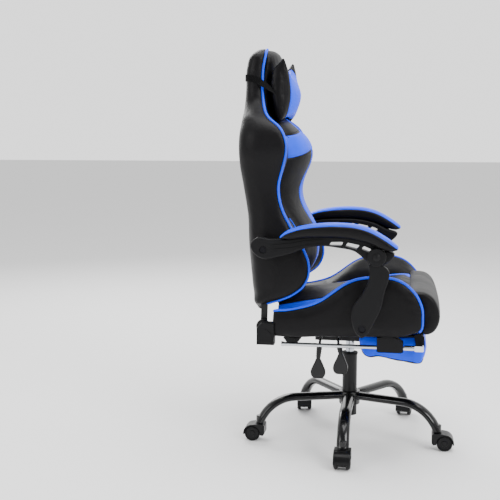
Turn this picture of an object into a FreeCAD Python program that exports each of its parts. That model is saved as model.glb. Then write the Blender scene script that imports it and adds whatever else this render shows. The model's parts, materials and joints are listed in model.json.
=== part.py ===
"""Gaming chair with a reclining back, linked armrests and a pull-out footrest.

Millimetres. +X is the sitter's front, +Y the sitter's left, +Z up. The origin is on the floor,
on the axis of the gas lift. Every sub-part is one STEP file in parts/.
"""
import FreeCAD, Part
import math
import os

V = FreeCAD.Vector

# ---- driving dimensions -------------------------------------------------------------------------
# base and casters
LEG_ANGLES = (-90, -18, 54, 126, 198)
CASTER_TRAILS = (-90, 0, 84, 97, 180)
STEM_CIRCLE = 300.0
LEG_HEIGHT = 138.0
LEG_WIDTH, LEG_DEPTH = 38.0, 26.0
LEG_STRAIGHT_END, LEG_ARCH_RADIUS, LEG_ARCH_TURN = 183.0, 124.0, 64.0
HUB_RADIUS, HUB_BOTTOM, HUB_TOP = 34.0, 110.0, 154.0
SOCKET_RADIUS, SOCKET_BOTTOM, SOCKET_TOP = 11.5, 60.0, 81.0
WHEEL_RADIUS, WHEEL_WIDTH, WHEEL_INNER = 25.0, 13.0, 12.6
CASTER_TRAIL = 22.0
STEM_RADIUS, AXLE_RADIUS = 5.5, 3.0
FIT = 0.05                                   # radial clearance of every running fit

# gas lift
TUBE_RADIUS, TUBE_BOTTOM, TUBE_TOP = 24.0, 74.0, 277.0
PISTON_RADIUS, PISTON_BOTTOM, PISTON_TOP = 14.0, 170.0, 338.0
ROD_RADIUS, ROD_TOP = 5.0, 300.0
BUTTON_RADIUS, BUTTON_BOTTOM, BUTTON_TOP = 4.0, 326.0, 347.5

# tilt mechanism
TRAY_REAR, TRAY_FRONT, TRAY_HALF = -112.0, 38.0, 43.0
TRAY_BOTTOM, TRAY_TOP, TRAY_WALL = 328.0, 352.0, 3.0
TILT_X, TILT_Z, TILT_RADIUS = 25.0, 366.0, 6.0
LEVER_PIVOT_Y, LEVER_PIVOT_Z, LEVER_PIN = -30.0, 352.0, 2.5
LEVER_ROD = 4.0
LOCK_X, HEIGHT_X = -81.0, -28.0
SPRING_Y, SPRING_Z = 22.0, 342.0
PLATE_BOTTOM, PLATE_TOP = 388.0, 392.0

# seat
RAIL_BOTTOM, RAIL_TOP = 392.0, 408.0
SEAT_BASE = 410.0
BOLSTER_IN, BOLSTER_OUT = 187.0, 265.0
ROLL_HALF = 236.0

# linkage pivots, as (X, Z)
RECLINE_PIVOT = (-252.6, 407.2)
ARM_REAR_PIVOT = (-243.4, 652.6)
KNUCKLE = (92.7, 640.1)
SUPPORT_PIVOT = (53.2, 427.0)
LINK_BOLT = 6.0

# sideways stations, measured out from the middle plane
BAR_IN, BAR_OUT = 214.0, 222.0
RECLINER_IN, RECLINER_OUT = 228.0, 234.0
COVER_OUT = 270.0
ARM_IN, ARM_OUT = 272.0, 304.0
PAD_IN, PAD_OUT = 268.0, 345.0
SUPPORT_IN, SUPPORT_OUT = 309.0, 322.0

# footrest
SLIDE_ROD, SLIDE_Y, SLIDE_Z = 6.0, 225.0, 353.0
FLIP_X, FLIP_Z = 225.0, 352.0
FOOT_HALF = 165.0

# side outlines of the padded parts, as (X, Z)
BACK_REAR = [(-286, 440), (-305, 505), (-313, 580), (-321, 660), (-325, 744), (-339, 831), (-351, 905),
             (-353, 970), (-344, 1060), (-339, 1140), (-334, 1204), (-319, 1243), (-293, 1264)]
WING_FRONT = [(-249, 1258), (-262, 1225), (-272, 1162), (-272, 1110), (-262, 1075), (-237, 1042),
              (-205, 1019), (-184, 985), (-179, 946), (-190, 895), (-206, 828), (-195, 771),
              (-166, 714), (-126, 643), (-112, 600), (-114, 560), (-142, 519), (-190, 491), (-240, 476)]
CENTRE_FRONT = [(-252, 1258), (-248, 1200), (-247, 1110), (-236, 1050), (-206, 1028), (-173, 1000),
                (-149, 974), (-134, 930), (-140, 899), (-158, 860), (-168, 818), (-158, 765),
                (-142, 737), (-123, 704), (-112, 650), (-116, 590), (-150, 545), (-236, 500)]
BACK_HALF_WIDTH = [(0, 1266), (100, 1262), (135, 1245), (148, 1205), (148, 1125), (160, 1092),
                   (192, 1068), (236, 1044), (262, 1010), (268, 960), (254, 880), (246, 800),
                   (250, 700), (252, 600), (250, 520), (215, 474), (180, 438), (0, 436)]
BOLSTER_OUTLINE = [(-224, 464), (-191, 466), (-156, 473), (-123, 481), (-89, 493), (-60, 511), (-32, 532),
                   (-3, 552), (30, 567), (63, 573), (119, 574), (147, 570), (175, 557), (199, 536),
                   (218, 508), (229, 475), (231, 441), (230, 417), (221, 400), (83, 387), (-11, 384),
                   (-83, 381), (-136, 376), (-222, 378)]
CUSHION_TOP = [(-222, 488), (-180, 490), (-120, 494), (-50, 502), (50, 517), (120, 528), (180, 528)]
ROLL_OUTLINE = [(180, 527), (212, 526), (238, 522), (256, 512), (268, 497), (277, 474), (281, 450),
                (277, 425), (264, 402), (246, 392), (234, 390), (234, 470), (205, 510)]
PILLOW_OUTLINE = [(-226, 1214), (-244, 1190), (-246, 1142), (-240, 1086), (-233, 1057), (-203, 1031),
                  (-191, 1050), (-175, 1092), (-172, 1118), (-185, 1166), (-206, 1214)]
ARM_TOP = [(-193, 686), (-164, 687), (-119, 693), (-60, 696), (-11, 696), (30, 691), (77, 677),
           (112, 660), (143, 647)]
ARM_LOWER = [(124, 622), (93, 612), (62, 626), (29, 652), (-15, 662), (-59, 667), (-94, 665),
             (-118, 659), (-162, 642), (-207, 630), (-240, 625), (-266, 637), (-281, 668), (-262, 688),
             (-225, 685)]
PAD_TOP = [(155, 667), (138, 682), (108, 702), (71, 721), (30, 732), (-11, 735), (-58, 734),
           (-105, 729), (-146, 720), (-179, 704), (-193, 690)]
ARM_SLOTS = [[(-50, 669), (-40, 680), (-5, 681), (-12, 669)],
             [(-1, 668), (8, 679), (43, 672), (33, 660)],
             [(46, 660), (55, 670), (76, 661), (70, 652)]]
SUPPORT_OUTLINE = [(70, 612), (69, 570), (54, 534), (31, 501), (21, 471), (26, 435), (38, 411),
                   (53, 401), (70, 415), (87, 446), (109, 497), (118, 542), (117, 612)]
COVER_OUTLINE = [(-268, 357), (-268, 408), (-254, 424), (-214.5, 424), (-214.5, 357)]
FOOT_OUTLINE = [(40, 373), (41, 322), (78, 311), (133, 300), (179, 294), (219, 293), (227, 299),
                (236, 331), (235, 373)]


# ---- small shape tools --------------------------------------------------------------------------
def box(x0, x1, y0, y1, z0, z1):
    """Block between two corners."""
    return Part.makeBox(x1 - x0, y1 - y0, z1 - z0, V(x0, y0, z0))


def rod(radius, start, end):
    """Round bar from one point to another."""
    start, end = V(*start), V(*end)
    return Part.makeCylinder(radius, (end - start).Length, start, end - start)


def ring(outer, inner, start, end):
    """Tube with flat ends."""
    return rod(outer, start, end).cut(rod(inner, start, end))


def fuse(shapes):
    """One solid from shapes that touch or overlap."""
    joined = shapes[0]
    for shape in shapes[1:]:
        joined = joined.fuse(shape)
    return joined


def cut(shape, tools):
    """Shape with every tool taken away."""
    for tool in tools:
        shape = shape.cut(tool)
    return shape


def group(shapes):
    """Several separate solids in one node."""
    solids = [solid for shape in shapes for solid in shape.Solids]
    return Part.makeCompound(solids)


def mirrored(shape):
    """The same shape on the other side of the middle plane."""
    return shape.mirror(V(0, 0, 0), V(0, 1, 0))


def both_sides(shape):
    """The shape and its mirror image."""
    return group([shape, mirrored(shape)])


def face_of(points, smooth):
    """Plane face inside a closed outline."""
    if not smooth:
        return Part.Face(Part.makePolygon(points + points[:1]))
    curve = Part.BSplineCurve()
    curve.interpolate(Points=points, PeriodicFlag=True)
    return Part.Face(Part.Wire(curve.toShape()))


def side_prism(outline, y0, y1, smooth=False):
    """Side outline carried sideways from y0 to y1."""
    face = face_of([V(x, y0, z) for x, z in outline], smooth)
    return face.extrude(V(0, y1 - y0, 0))


def right_plate(outline, inner, outer, smooth=False):
    """Plate on the right-hand side between two stations."""
    return side_prism(outline, -outer, -inner, smooth)


def right_rod(radius, pivot, inner, outer):
    """Sideways bar on the right-hand side between two stations."""
    return rod(radius, (pivot[0], -outer, pivot[1]), (pivot[0], -inner, pivot[1]))


def bent_path(points, bend):
    """Straight runs joined by tangent arcs."""
    points = [V(*p) for p in points]
    edges = []
    last = points[0]
    for before, corner, after in zip(points, points[1:], points[2:]):
        back = (before - corner).normalize()
        ahead = (after - corner).normalize()
        half = back.getAngle(ahead) / 2
        reach = bend / math.tan(half)
        start, end = corner + back * reach, corner + ahead * reach
        middle = corner + (back + ahead).normalize() * (bend / math.sin(half) - bend)
        edges.append(Part.LineSegment(last, start).toShape())
        edges.append(Part.Arc(start, middle, end).toShape())
        last = end
    edges.append(Part.LineSegment(last, points[-1]).toShape())
    return Part.Wire(edges)


def bent_rod(points, radius, bend):
    """Round bar bent along a route."""
    first, second = V(*points[0]), V(*points[1])
    section = Part.Wire(Part.makeCircle(radius, first, second - first))
    return bent_path(points, bend).makePipeShell([section], True, False)


def rounded(shape, radius, choose):
    """Shape with the chosen edges rounded."""
    edges = [edge for edge in shape.Edges if choose(edge)]
    return shape.makeFillet(radius, edges)


def turned(shape, degrees, spot=(0, 0, 0)):
    """Shape turned about the vertical through the origin, then moved."""
    shape = shape.copy()
    shape.rotate(V(0, 0, 0), V(0, 0, 1), degrees)
    shape.translate(V(*spot))
    return shape


NODES = {}


def keep(name, shape):
    """Store a sub-part under its node name."""
    NODES[name] = shape


# ---- base ---------------------------------------------------------------------------------------
def leg():
    """One oval tube leg along +X, arched down to its caster socket."""
    turn = math.radians(LEG_ARCH_TURN)
    centre_z = LEG_HEIGHT - LEG_ARCH_RADIUS

    def on_arch(angle):
        return V(LEG_STRAIGHT_END + LEG_ARCH_RADIUS * math.sin(angle), 0,
                 centre_z + LEG_ARCH_RADIUS * math.cos(angle))

    start = V(HUB_RADIUS - 8, 0, LEG_HEIGHT)
    knee = V(LEG_STRAIGHT_END, 0, LEG_HEIGHT)
    tip = on_arch(turn)
    toe = tip + V(math.cos(turn), 0, -math.sin(turn)) * (tip.z - SOCKET_BOTTOM + 16)
    path = Part.Wire([Part.LineSegment(start, knee).toShape(), Part.Arc(knee, on_arch(turn / 2), tip).toShape(),
                      Part.LineSegment(tip, toe).toShape()])
    oval = Part.Ellipse(start + V(0, LEG_WIDTH / 2, 0), start + V(0, 0, LEG_DEPTH / 2), start)
    tube = path.makePipeShell([Part.Wire(oval.toShape())], True, False)
    socket = rod(SOCKET_RADIUS, (STEM_CIRCLE, 0, SOCKET_BOTTOM), (STEM_CIRCLE, 0, SOCKET_TOP))
    socket = rounded(socket, 3, lambda edge: edge.BoundBox.ZMin > SOCKET_TOP - 0.1)
    hub = rod(HUB_RADIUS, (0, 0, HUB_BOTTOM), (0, 0, HUB_TOP))
    bore = rod(STEM_RADIUS + FIT, (STEM_CIRCLE, 0, SOCKET_BOTTOM - 1), (STEM_CIRCLE, 0, SOCKET_TOP - 3))
    below = box(STEM_CIRCLE - 40, STEM_CIRCLE + 40, -30, 30, 0, SOCKET_BOTTOM)
    return cut(fuse([tube, socket]), [hub, bore, below])


def base():
    """Hub, five legs and the outer tube of the gas lift."""
    hub = ring(HUB_RADIUS, TUBE_RADIUS, (0, 0, HUB_BOTTOM), (0, 0, HUB_TOP))
    keep("base_hub", rounded(hub, 2.5, lambda edge: edge.BoundBox.XMax > HUB_RADIUS - 1 and
                             edge.BoundBox.ZLength < 1))
    keep("base_legs", group([turned(leg(), angle) for angle in LEG_ANGLES]))
    tube = rod(TUBE_RADIUS - FIT, (0, 0, TUBE_BOTTOM), (0, 0, TUBE_TOP))
    hollow = rod(TUBE_RADIUS - 3, (0, 0, TUBE_BOTTOM + 4), (0, 0, TUBE_TOP + 1))
    keep("gas_cylinder", cut(tube, [hollow, rod(ROD_RADIUS + FIT, (0, 0, 0), (0, 0, TUBE_TOP))]))
    sleeve = ring(TUBE_RADIUS - 3.1, PISTON_RADIUS + FIT, (0, 0, TUBE_TOP - 60), (0, 0, TUBE_TOP))
    collar = ring(TUBE_RADIUS + 2, PISTON_RADIUS + FIT, (0, 0, TUBE_TOP), (0, 0, TUBE_TOP + 7))
    collar = rounded(collar, 2, lambda edge: edge.BoundBox.XMax > TUBE_RADIUS and
                     edge.BoundBox.ZMin > TUBE_TOP + 6 and edge.BoundBox.ZLength < 1)
    keep("cylinder_bush", fuse([sleeve, collar]))


# ---- casters ------------------------------------------------------------------------------------
def caster_yoke():
    """Body between the twin wheels with its hood, stem at the origin, wheels trailing along +X."""
    axle = (CASTER_TRAIL, WHEEL_RADIUS)
    half, hood_radius = WHEEL_INNER + WHEEL_WIDTH, WHEEL_RADIUS + 4.5
    over = [(axle[0] + hood_radius * math.cos(math.radians(a)), axle[1] + hood_radius * math.sin(math.radians(a)))
            for a in range(-6, 91, 8)]
    outline = over + [(14, 56), (-13, 56), (-18, 51), (-18, 25), (-13, 19), axle]
    body = side_prism(outline, -half, half)
    wheel_space = [rod(WHEEL_RADIUS + 0.9, (axle[0], side * (WHEEL_INNER - 0.6), axle[1]),
                       (axle[0], side * (half + 1), axle[1])) for side in (-1, 1)]
    web = rod(WHEEL_RADIUS - 2, (axle[0], 0.6 - WHEEL_INNER, axle[1]), (axle[0], WHEEL_INNER - 0.6, axle[1]))
    web = web.cut(box(-40, 80, -40, 40, 0, 13))
    boss = rounded(rod(11, (0, 0, 50), (0, 0, 58.5)), 1.5, lambda edge: edge.BoundBox.ZMin > 58.4)
    bore = rod(STEM_RADIUS, (0, 0, 36), (0, 0, 60))
    axle_bore = rod(AXLE_RADIUS, (axle[0], -half, axle[1]), (axle[0], half, axle[1]))
    return cut(fuse([cut(body, wheel_space), web, boss]), [bore, axle_bore])


def caster_wheel():
    """One wheel on the +Y side, with a dished face, a centre cap and a blind axle hole."""
    inner, outer, radius = WHEEL_INNER, WHEEL_INNER + WHEEL_WIDTH, WHEEL_RADIUS
    section = [(0, inner), (radius - 2, inner), (radius, inner + 2.5), (radius, outer - 4),
               (radius - 3, outer - 0.8), (radius - 5, outer), (radius - 6.5, outer - 2.5),
               (10, outer - 3.5), (9, outer - 1), (0, outer - 0.3)]
    face = Part.Face(Part.makePolygon([V(r, y, 0) for r, y in section + section[:1]]))
    wheel = face.revolve(V(0, 0, 0), V(0, 1, 0), 360)
    wheel = wheel.cut(rod(AXLE_RADIUS + FIT, (0, inner - 1, 0), (0, outer - 5, 0)))
    wheel.translate(V(CASTER_TRAIL, 0, WHEEL_RADIUS))
    return wheel


def caster_pins():
    """Steel stem and axle of one caster."""
    stem = rod(STEM_RADIUS, (0, 0, 36), (0, 0, SOCKET_TOP - 5))
    end = WHEEL_INNER + WHEEL_WIDTH - 7
    axle = rod(AXLE_RADIUS, (CASTER_TRAIL, -end, WHEEL_RADIUS), (CASTER_TRAIL, end, WHEEL_RADIUS))
    return group([stem, axle])


def casters():
    """Five twin-wheel casters, each turned its own way."""
    for number, (angle, trail) in enumerate(zip(LEG_ANGLES, CASTER_TRAILS), 1):
        spot = (STEM_CIRCLE * math.cos(math.radians(angle)), STEM_CIRCLE * math.sin(math.radians(angle)), 0)
        keep(f"caster_yoke_{number}", turned(caster_yoke(), trail, spot))
        keep(f"caster_pins_{number}", turned(caster_pins(), trail, spot))
        keep(f"caster_wheel_{number}a", turned(caster_wheel(), trail, spot))
        keep(f"caster_wheel_{number}b", turned(mirrored(caster_wheel()), trail, spot))


# ---- gas lift -----------------------------------------------------------------------------------
def gas_lift():
    """Inner rod, sliding piston and release button."""
    shaft = rod(ROD_RADIUS, (0, 0, TUBE_BOTTOM - 4), (0, 0, ROD_TOP))
    clip = rod(9, (0, 0, TUBE_BOTTOM - 4), (0, 0, TUBE_BOTTOM - 0.4))
    bearing = rod(15, (0, 0, TUBE_BOTTOM + 4.4), (0, 0, TUBE_BOTTOM + 9))
    keep("piston_rod", fuse([shaft, clip, bearing]))
    piston = rod(PISTON_RADIUS, (0, 0, PISTON_BOTTOM), (0, 0, PISTON_TOP))
    guide = rod(ROD_RADIUS + FIT, (0, 0, PISTON_BOTTOM - 1), (0, 0, PISTON_BOTTOM + 25))
    chamber = rod(PISTON_RADIUS - 3, (0, 0, PISTON_BOTTOM + 20), (0, 0, 316))
    button_bore = rod(BUTTON_RADIUS + FIT, (0, 0, BUTTON_BOTTOM - 5), (0, 0, PISTON_TOP + 1))
    keep("gas_piston", cut(piston, [guide, chamber, button_bore]))
    button = rod(BUTTON_RADIUS, (0, 0, BUTTON_BOTTOM), (0, 0, BUTTON_TOP))
    keep("release_button", rounded(button, 1, lambda edge: edge.BoundBox.ZMin > BUTTON_TOP - 0.1))


# ---- tilt mechanism -----------------------------------------------------------------------------
def mechanism():
    """Pressed steel tray, its pins, the tension spring and knob, and the plate under the seat."""
    wall = TRAY_WALL
    tray = box(TRAY_REAR, TRAY_FRONT, -TRAY_HALF, TRAY_HALF, TRAY_BOTTOM, TRAY_TOP)
    tray = rounded(tray, 8, lambda edge: edge.BoundBox.ZLength > 20)
    hollow = box(TRAY_REAR + wall, TRAY_FRONT - wall, -TRAY_HALF + wall, TRAY_HALF - wall,
                 TRAY_BOTTOM + wall, TRAY_TOP + 1)
    tray = tray.cut(hollow)
    parts = [tray, rod(20, (0, 0, TRAY_BOTTOM), (0, 0, PISTON_TOP))]
    for y0 in (-TRAY_HALF, TRAY_HALF - wall):
        parts.append(side_prism([(8, TRAY_TOP - 9), (8, TRAY_TOP), (15, TILT_Z + 8), (33, TILT_Z + 8),
                                 (TRAY_FRONT, TRAY_TOP), (TRAY_FRONT, TRAY_TOP - 9)], y0, y0 + wall))
    for x in (LOCK_X, HEIGHT_X):
        for x0 in (x - 8.5, x + 5.5):
            lug = box(x0, x0 + 3, LEVER_PIVOT_Y - 7, LEVER_PIVOT_Y + 7, TRAY_BOTTOM + 1, LEVER_PIVOT_Z + 7)
            parts.append(lug)
    holes = [rod(PISTON_RADIUS + FIT, (0, 0, TRAY_BOTTOM - 1), (0, 0, PISTON_TOP + 1)),
             rod(TILT_RADIUS + FIT, (TILT_X, -60, TILT_Z), (TILT_X, 60, TILT_Z)),
             rod(4 + FIT, (TRAY_REAR - 1, SPRING_Y, SPRING_Z), (TRAY_REAR + 8, SPRING_Y, SPRING_Z))]
    for x in (LOCK_X, HEIGHT_X):
        holes.append(rod(LEVER_PIN + 0.02, (x - 12, LEVER_PIVOT_Y, LEVER_PIVOT_Z),
                         (x + 12, LEVER_PIVOT_Y, LEVER_PIVOT_Z)))
        holes.append(box(x - 8, x + 8, -TRAY_HALF - 1, -TRAY_HALF + wall + 1, LEVER_PIVOT_Z - 8, TRAY_TOP + 1))
    keep("mech_housing", cut(fuse(parts), holes))

    pin = rod(TILT_RADIUS, (TILT_X, -52, TILT_Z), (TILT_X, 52, TILT_Z))
    heads = [rod(9, (TILT_X, side * 49.5, TILT_Z), (TILT_X, side * 53.5, TILT_Z)) for side in (-1, 1)]
    small = [rod(LEVER_PIN, (x - 10, LEVER_PIVOT_Y, LEVER_PIVOT_Z), (x + 10, LEVER_PIVOT_Y, LEVER_PIVOT_Z))
             for x in (LOCK_X, HEIGHT_X)]
    keep("mech_pins", group([fuse([pin] + heads)] + small))

    coil_radius, wire, pitch, length = 7.6, 1.3, 7.0, 52.0
    helix = Part.makeHelix(pitch, length, coil_radius)
    wire_face = Part.Wire(Part.makeCircle(wire, V(coil_radius, 0, 0), V(0, 1, 0)))
    spring = Part.Wire(helix).makePipeShell([wire_face], True, True)
    spring.rotate(V(0, 0, 0), V(0, 1, 0), 90)
    spring.translate(V(TRAY_REAR + 6, SPRING_Y, SPRING_Z))
    keep("tension_spring", spring)

    knob_rear = TRAY_REAR - 38
    screw = rod(4, (knob_rear + 8, SPRING_Y, SPRING_Z), (TRAY_REAR + 60, SPRING_Y, SPRING_Z))
    grip = rod(15, (knob_rear, SPRING_Y, SPRING_Z), (TRAY_REAR - 6, SPRING_Y, SPRING_Z))
    grip = rounded(grip, 3, lambda edge: edge.BoundBox.XMax < knob_rear + 1)
    flutes = []
    for step in range(12):
        angle = math.radians(30 * step)
        y, z = SPRING_Y + 16.2 * math.cos(angle), SPRING_Z + 16.2 * math.sin(angle)
        flutes.append(rod(2.4, (knob_rear - 1, y, z), (TRAY_REAR - 10, y, z)))
    keep("tension_knob", fuse([cut(grip, flutes), screw]))

    plate = box(-125, 105, -80, 80, PLATE_BOTTOM, PLATE_TOP)
    plate = rounded(plate, 18, lambda edge: edge.BoundBox.ZLength > 3)
    ears = []
    for y0 in (-49, 45):
        ears.append(side_prism([(5, PLATE_BOTTOM + 1), (15, TILT_Z - 8), (20, TILT_Z - 10),
                                (30, TILT_Z - 10), (34, TILT_Z - 7), (36, PLATE_BOTTOM + 1)], y0, y0 + 4))
    pin_hole = rod(TILT_RADIUS + FIT, (TILT_X, -60, TILT_Z), (TILT_X, 60, TILT_Z))
    slots = [box(x, x + 12, y - 4, y + 4, PLATE_BOTTOM - 1, PLATE_TOP + 1)
             for x in (-106, 70) for y in (-60, 60)]
    keep("mech_top_plate", cut(fuse([plate] + ears), [pin_hole] + slots))


def lever(x_eye, x_bend, x_low, y, z_bend, z_low, inner):
    """Bent lever rod with the eye of its pivot; inner is its route from the eye to its inner end."""
    centre = (x_eye, LEVER_PIVOT_Y, LEVER_PIVOT_Z)
    arm = fuse([bent_rod([centre, (x_bend, y, z_bend), (x_low, y - 2, z_low)], LEVER_ROD, 12),
                bent_rod([centre] + inner, LEVER_ROD, 8)])
    eye = rod(8, (x_eye - 5, LEVER_PIVOT_Y, LEVER_PIVOT_Z), (x_eye + 5, LEVER_PIVOT_Y, LEVER_PIVOT_Z))
    hole = rod(LEVER_PIN + FIT, (x_eye - 20, LEVER_PIVOT_Y, LEVER_PIVOT_Z),
               (x_eye + 20, LEVER_PIVOT_Y, LEVER_PIVOT_Z))
    return fuse([arm, eye]).cut(hole)


def lever_grip(x_top, x_low, y, z_top, z_neck, z_bottom, rod_shape):
    """Ribbed rubber sleeve and paddle moulded over the lever's lower end."""
    height = z_top - z_neck
    top, neck = V(x_top, y, z_top), V(x_low, y - 2, z_neck)
    sleeve = Part.makeCone(9, 7, (neck - top).Length, top, neck - top)
    ribs = []
    count = int(height / 7)
    for step in range(1, count):
        spot = top + (neck - top) * (step / count)
        direction = (neck - top).normalize() * 1.6
        ribs.append(Part.makeCylinder(9.6 - 1.8 * step / count, 3.2, spot - direction, direction))
    drop = z_neck - z_bottom
    half = [(9, z_neck - 0.1 * drop), (18, z_neck - 0.42 * drop), (23, z_neck - 0.76 * drop), (15, z_bottom + 2)]
    outline = [(x_low - x, z) for x, z in half] + [(x_low, z_bottom)]
    outline += [(x_low + x, z) for x, z in reversed(half)] + [(x_low, z_neck + 3)]
    paddle = side_prism(outline, y - 9, y + 5, smooth=True)
    paddle = rounded(paddle, 3, lambda edge: edge.BoundBox.YLength < 1)
    return fuse([sleeve, paddle] + ribs).cut(rod_shape)


def levers():
    """Tilt lock lever behind, seat height lever in front, both on the right."""
    lock = lever(LOCK_X, LOCK_X - 2, -88, -172, 358, 288, [(LOCK_X, 6, LEVER_PIVOT_Z)])
    keep("lock_lever_rod", lock)
    keep("lock_lever_grip", lever_grip(-84, -88, -173, 344, 300, 236, lock))
    height = lever(HEIGHT_X, HEIGHT_X, -19, -164, 358, 296,
                   [(HEIGHT_X, -12, LEVER_PIVOT_Z), (2, 3, LEVER_PIVOT_Z)])
    keep("height_lever_rod", height)
    keep("height_lever_grip", lever_grip(-25, -19, -165, 344, 316, 250, height))


# ---- seat ---------------------------------------------------------------------------------------
def seat_frame():
    """Welded steel tube frame under the seat."""
    def rail(x0, x1, y0, y1):
        return box(x0, x1, y0, y1, RAIL_BOTTOM, RAIL_TOP)

    parts = [rail(-210, 195, -120, -104), rail(-210, 195, 104, 120)]
    parts += [rail(-210, -192, -RECLINER_IN, RECLINER_IN), rail(-110, -94, -110, 110)]
    parts += [rail(45, 61, -RECLINER_IN, RECLINER_IN), rail(179, 195, -150, 150)]
    for side in (-1, 1):
        inner, outer = sorted((side * RECLINER_IN, side * (RECLINER_IN + 5)))
        parts.append(box(36, 70, inner, outer, RAIL_BOTTOM, 446))
    bolt = rod(LINK_BOLT, (SUPPORT_PIVOT[0], -300, SUPPORT_PIVOT[1]), (SUPPORT_PIVOT[0], 300, SUPPORT_PIVOT[1]))
    return fuse(parts).cut(bolt)


def recliner_plate():
    """Steel plate that carries the hinge bolt of the back, right-hand side."""
    x, z = RECLINE_PIVOT
    disc = right_rod(22, RECLINE_PIVOT, RECLINER_IN, RECLINER_OUT)
    tongue = right_plate([(x, z - 22), (x + 20, z + 9), (-190, 412), (-190, 388)], RECLINER_IN, RECLINER_OUT)
    bolt = right_rod(LINK_BOLT, RECLINE_PIVOT, BAR_IN - 6, RECLINER_OUT + 3)
    washer = right_rod(11, RECLINE_PIVOT, BAR_IN - 8, BAR_IN - 0.4)
    return fuse([disc, tongue, bolt, washer])


def recliner_cover():
    """Moulded cover over the recliner, right-hand side, open towards the plate."""
    shell = right_plate(COVER_OUTLINE, RECLINER_OUT + 1, COVER_OUT)
    shell = rounded(shell, 2.5, lambda edge: edge.BoundBox.YMax < -COVER_OUT + 0.1)
    hollow = right_plate([(-265, 360), (-265, 407), (-253, 421), (-217.5, 421), (-217.5, 360)],
                         RECLINER_OUT, COVER_OUT - 3)
    facet = right_plate([(-262, 366), (-262, 390), (-241, 408), (-221, 390), (-221, 366), (-241, 384)],
                        COVER_OUT - 1, COVER_OUT + 1.5)
    return fuse([shell.cut(hollow), facet])


def footrest_guide():
    """Plastic slide block, its steel strip to the frame, and the rear hanger, right-hand side."""
    block = right_plate([(94, 386), (94, 344), (100, 341), (167, 341), (173, 344), (173, 372), (150, 386)],
                        208, 242)
    block = block.cut(rod(SLIDE_ROD + FIT, (0, -SLIDE_Y, SLIDE_Z), (300, -SLIDE_Y, SLIDE_Z)))
    strip = box(108, 146, -242, -104, 386, RAIL_BOTTOM)
    hanger = right_plate([(-190, 375), (-180, 361.5), (-145, 361.5), (-135, 375)], 214, 236)
    head = rod(6, (-160, -239, 368), (-160, -236, 368))
    return group([block, strip, fuse([hanger, head])])


def seat():
    """Frame, recliners, covers, footrest guides and the padded parts of the seat."""
    frame = seat_frame()
    keep("seat_frame", frame)
    plate = recliner_plate()
    keep("recliner_plates", both_sides(plate))
    cover = recliner_cover()
    shaft = rod(5 + FIT, (RECLINE_PIVOT[0], 200, RECLINE_PIVOT[1]), (RECLINE_PIVOT[0], 300, RECLINE_PIVOT[1]))
    keep("recliner_covers", group([cover, mirrored(cover).cut(shaft)]))
    guide = footrest_guide()
    keep("footrest_guides", both_sides(guide))
    bolt = right_rod(LINK_BOLT, SUPPORT_PIVOT, RECLINER_IN - 4, 316)
    head = right_rod(9.5, SUPPORT_PIVOT, 315, 319)
    nut = right_rod(10, SUPPORT_PIVOT, RECLINER_IN - 8, RECLINER_IN)
    bolts = fuse([bolt, head, nut])
    keep("support_bolts", both_sides(bolts))

    bolster = right_plate(BOLSTER_OUTLINE, BOLSTER_IN, BOLSTER_OUT)
    bolster = rounded(bolster, 14, lambda edge: edge.BoundBox.YLength < 1 and edge.BoundBox.ZMin > 420 and
                      edge.BoundBox.YMax < -BOLSTER_OUT + 1)
    notch = box(-240, -214, -300, -100, 300, 425)
    tongue = box(-240, -188, -237, -100, 300, 418)
    right = cut(bolster, [notch, tongue, frame, bolts, guide])
    keep("seat_bolster_right", right)
    keep("seat_bolster_left", mirrored(right))

    cushion = side_prism([(-222, SEAT_BASE)] + CUSHION_TOP + [(205, 540), (234, 470), (234, SEAT_BASE)],
                         -BOLSTER_IN + 1, BOLSTER_IN - 1)
    roll = side_prism(ROLL_OUTLINE, -ROLL_HALF, ROLL_HALF)
    bolster_space = [side_prism(BOLSTER_OUTLINE, side * BOLSTER_IN, side * (BOLSTER_OUT + 20))
                     for side in (-1, 1)]
    keep("seat_cushion", cut(fuse([cushion, roll]), bolster_space))

    grip_y = COVER_OUT + 2.5
    hub = rod(13, (RECLINE_PIVOT[0], grip_y, RECLINE_PIVOT[1]), (RECLINE_PIVOT[0], grip_y + 10, RECLINE_PIVOT[1]))
    paddle = side_prism([(-258, 418), (-240, 420), (-180, 424), (-168, 420), (-166, 411), (-176, 404),
                         (-235, 396), (-256, 396)], grip_y + 2, grip_y + 14, smooth=True)
    spindle = rod(5, (RECLINE_PIVOT[0], 239, RECLINE_PIVOT[1]), (RECLINE_PIVOT[0], grip_y + 2, RECLINE_PIVOT[1]))
    keep("recline_lever", fuse([hub, paddle, spindle]))


# ---- back ---------------------------------------------------------------------------------------
def back_frame():
    """Bent steel tube inside the back, welded to the two hinge bars."""
    half = [(-265, 196, 500), (-290, 196, 720), (-304, 196, 950), (-304, 100, 1080), (-302, 100, 1210)]
    route = [(x, -y, z) for x, y, z in half] + [(x, y, z) for x, y, z in reversed(half)]
    parts = [bent_rod(route, 9, 30)]
    x, z = RECLINE_PIVOT
    for side in (-1, 1):
        y0, y1 = sorted((side * BAR_IN, side * BAR_OUT))
        parts.append(side_prism([(x - 10, z), (x + 10, z), (x + 18, 690), (x - 2, 690)], y0, y1))
        parts.append(rod(14, (x, y0, z), (x, y1, z)))
        for height, tube_x in ((530, -268), (670, -284)):
            parts.append(rod(7, (tube_x, side * 196, height), (tube_x + 18, side * (BAR_IN + 2), height)))
        parts.append(rod(7, (-270, side * 196, 540), (-270, 0, 540)))
        parts.append(rod(7, (-296, side * 196, 820), (-296, 0, 820)))
    pivot = rod(LINK_BOLT + FIT, (x, -300, z), (x, 300, z))
    upper = rod(LINK_BOLT, (ARM_REAR_PIVOT[0], -300, ARM_REAR_PIVOT[1]),
                (ARM_REAR_PIVOT[0], 300, ARM_REAR_PIVOT[1]))
    return cut(fuse(parts), [pivot, upper])


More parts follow.
